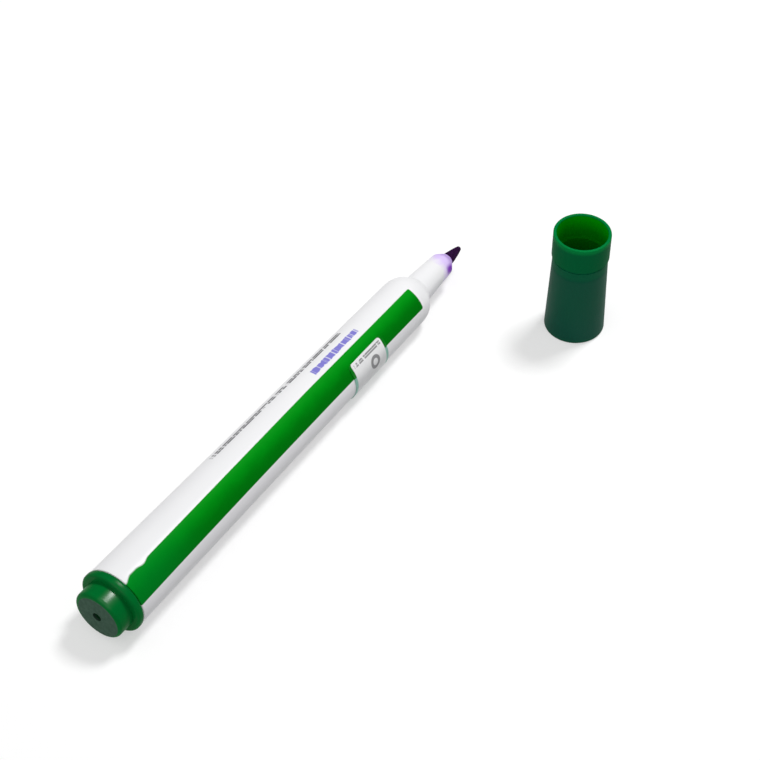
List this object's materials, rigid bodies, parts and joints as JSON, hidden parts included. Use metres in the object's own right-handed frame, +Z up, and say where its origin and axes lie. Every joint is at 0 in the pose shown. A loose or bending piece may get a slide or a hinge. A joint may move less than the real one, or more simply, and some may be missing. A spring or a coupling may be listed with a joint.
{
  "type": "permanent marker",
  "caption": "Round tapered permanent marker lying with its cap off: white barrel, green printed stripe, green rear plug, dark fibre nib and a green push-on cap standing beside it.",
  "frame": {"origin": "on the table, under the middle of the box that holds the marker and its cap", "axes": "+X along the marker from its rear plug towards its nib, +Z up from the table, the cap standing on the -Y side"},
  "size_m": [0.134, 0.0456, 0.0272],
  "materials": {
    "barrel_plastic": "white injection-moulded polypropylene with a screen-printed green stripe",
    "nib_fibre": "bonded fibre soaked with dark violet ink",
    "reservoir_fibre": "loose polyester fibre soaked with violet ink",
    "film_plastic": "thin wrapped film",
    "plug_plastic": "glossy green moulded plastic",
    "label_film": "white adhesive film with a printed green edge",
    "cap_plastic": "satin green moulded plastic",
    "inner_cap_plastic": "soft green moulded plastic"
  },
  "bodies": {
    "marker": {"barrel": "barrel_plastic", "nib": "nib_fibre", "ink_reservoir": "reservoir_fibre", "reservoir_film": "film_plastic", "rear_plug": "plug_plastic", "seal_label": "label_film"},
    "cap": {"cap_shell": "cap_plastic", "inner_cap": "inner_cap_plastic"}
  },
  "joints": [
    {"name": "cap_lift", "type": "slide", "parent": "marker", "child": "cap", "axis": [0, 0, 1], "range_m": [0, 0.06]}
  ]
}
